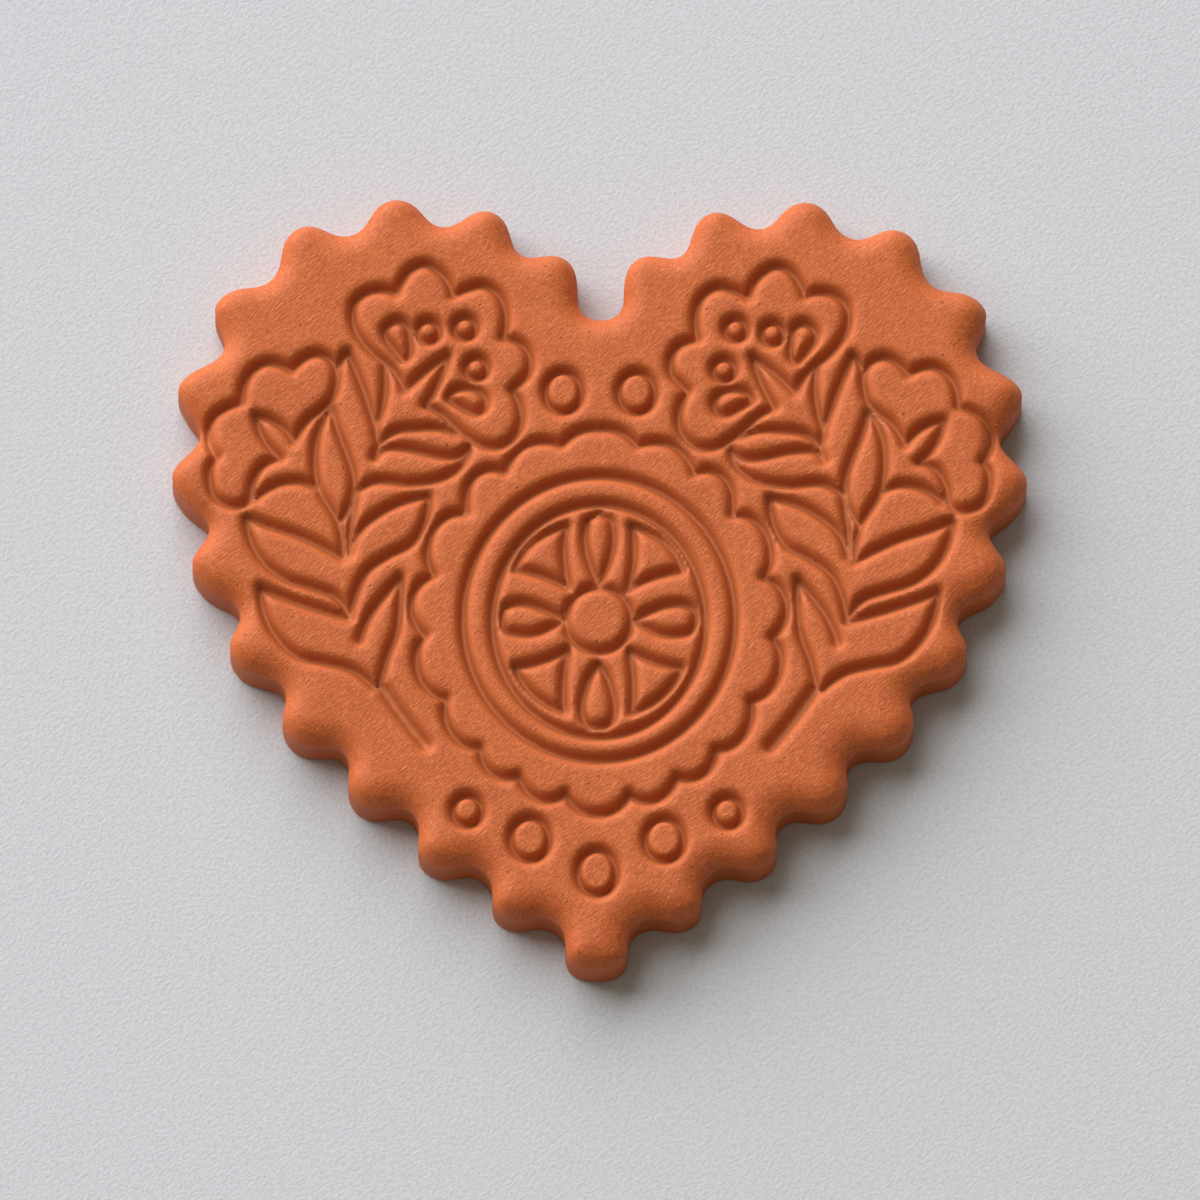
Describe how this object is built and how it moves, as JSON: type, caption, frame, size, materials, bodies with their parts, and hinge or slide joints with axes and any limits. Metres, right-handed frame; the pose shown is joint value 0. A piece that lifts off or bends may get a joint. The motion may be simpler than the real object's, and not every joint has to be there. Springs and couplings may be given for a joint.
{
  "type": "pressed clay heart",
  "caption": "Flat heart-shaped clay piece with a scalloped edge and a rounded rim, pressed with a pattern of flowers, leaves and ringed buttons round a central medallion",
  "frame": {"origin": "middle of the flat back, half way along the heart's width and length", "axes": "+Z out of the patterned face, +Y from the point of the heart to its two lobes, +X along its width"},
  "size_m": [0.0856, 0.0796, 0.007],
  "materials": {
    "terracotta": "matte unglazed clay with a fine grain"
  },
  "bodies": {
    "root": {"clay_heart": "terracotta"}
  },
  "joints": []
}
